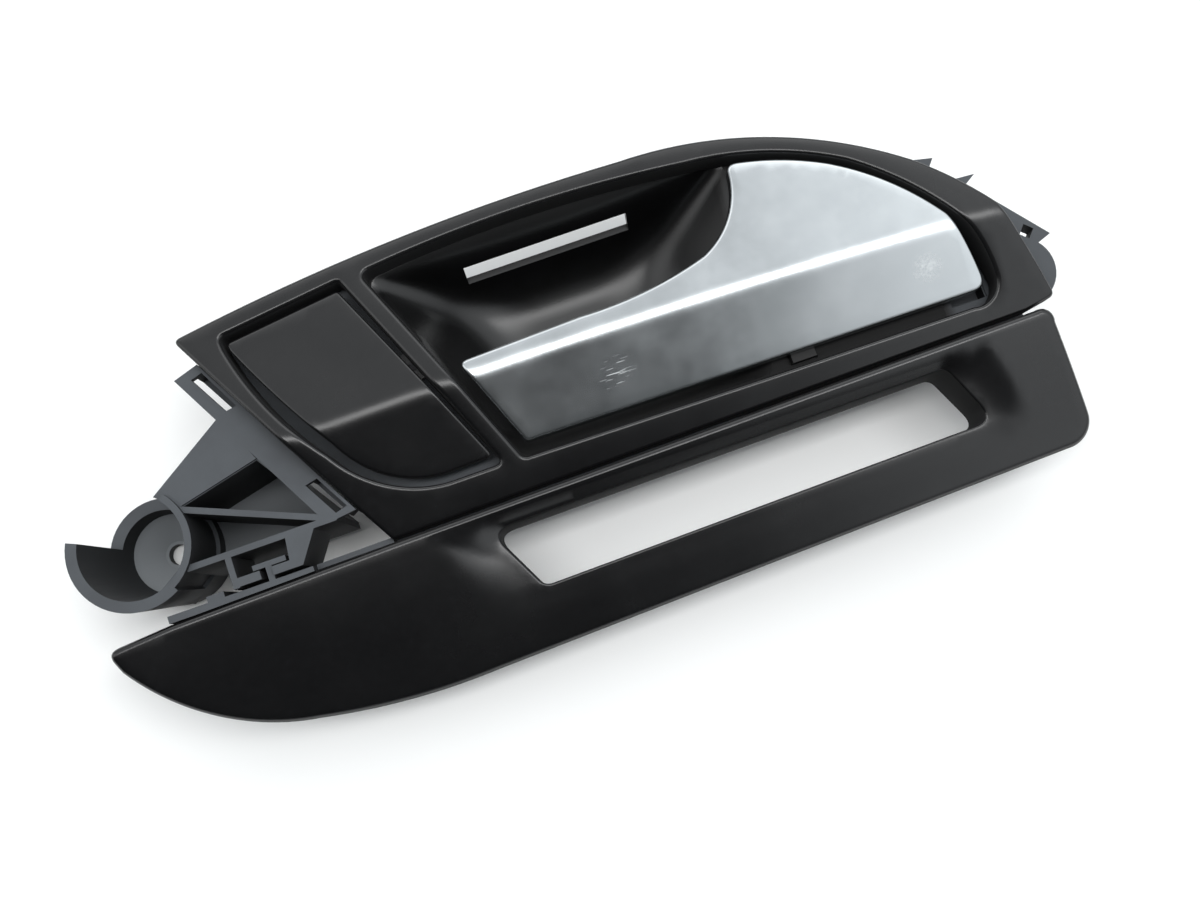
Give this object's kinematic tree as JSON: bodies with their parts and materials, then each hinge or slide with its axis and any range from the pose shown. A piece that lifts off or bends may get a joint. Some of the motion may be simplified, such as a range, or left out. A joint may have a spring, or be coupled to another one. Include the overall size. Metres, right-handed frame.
{
  "type": "car door handle",
  "caption": "Interior car door handle unit: satin pull lever hinged over a finger bowl, black bezel with a blanked switch opening, grip trim with a window, and a ribbed carrier.",
  "frame": {"origin": "centre of the unit's box on the plane its back rests on", "axes": "+X along the unit's length towards the lever's hinge end, +Y up the door from the grip trim to the lever, +Z out of the door into the cabin"},
  "size_m": [0.3122, 0.1345, 0.0518],
  "materials": {
    "satin_black_plastic": "satin moulded",
    "bowl_black_plastic": "fine grained",
    "carrier_grey_plastic": "matte moulded",
    "frame_grey_plastic": "matte moulded",
    "core_black_plastic": "matte moulded",
    "satin_metal": "fine satin",
    "bright_steel": "plain",
    "spring_steel": "oiled",
    "black_steel": "black zinc",
    "acetal": "natural",
    "black_rubber": "matte"
  },
  "bodies": {
    "housing": {"bezel": "satin_black_plastic", "switch_blank": "satin_black_plastic", "blank_clips": "spring_steel", "finger_bowl": "bowl_black_plastic", "carrier": "carrier_grey_plastic", "grip_trim": "satin_black_plastic", "grip_trim_frame": "frame_grey_plastic", "lever_pin": "bright_steel", "pin_clip": "spring_steel", "lever_spring": "spring_steel", "rest_buffers": "black_rubber", "open_buffer": "black_rubber", "bezel_screws": "black_steel", "bowl_screws": "black_steel", "trim_screws": "black_steel"},
    "lever": {"lever_cover": "satin_metal", "lever_arm": "core_black_plastic", "lower_bush": "acetal", "upper_bush": "acetal", "lever_cover_screws": "bright_steel"}
  },
  "joints": [
    {"name": "lever_hinge", "type": "hinge", "parent": "housing", "child": "lever", "pos_m": [0.11025, 0.0162, 0.045], "axis": [0, 1, 0], "range_deg": [0, 20], "stiffness_Nm_per_rad": 0.15, "springref_deg": -28.65}
  ]
}
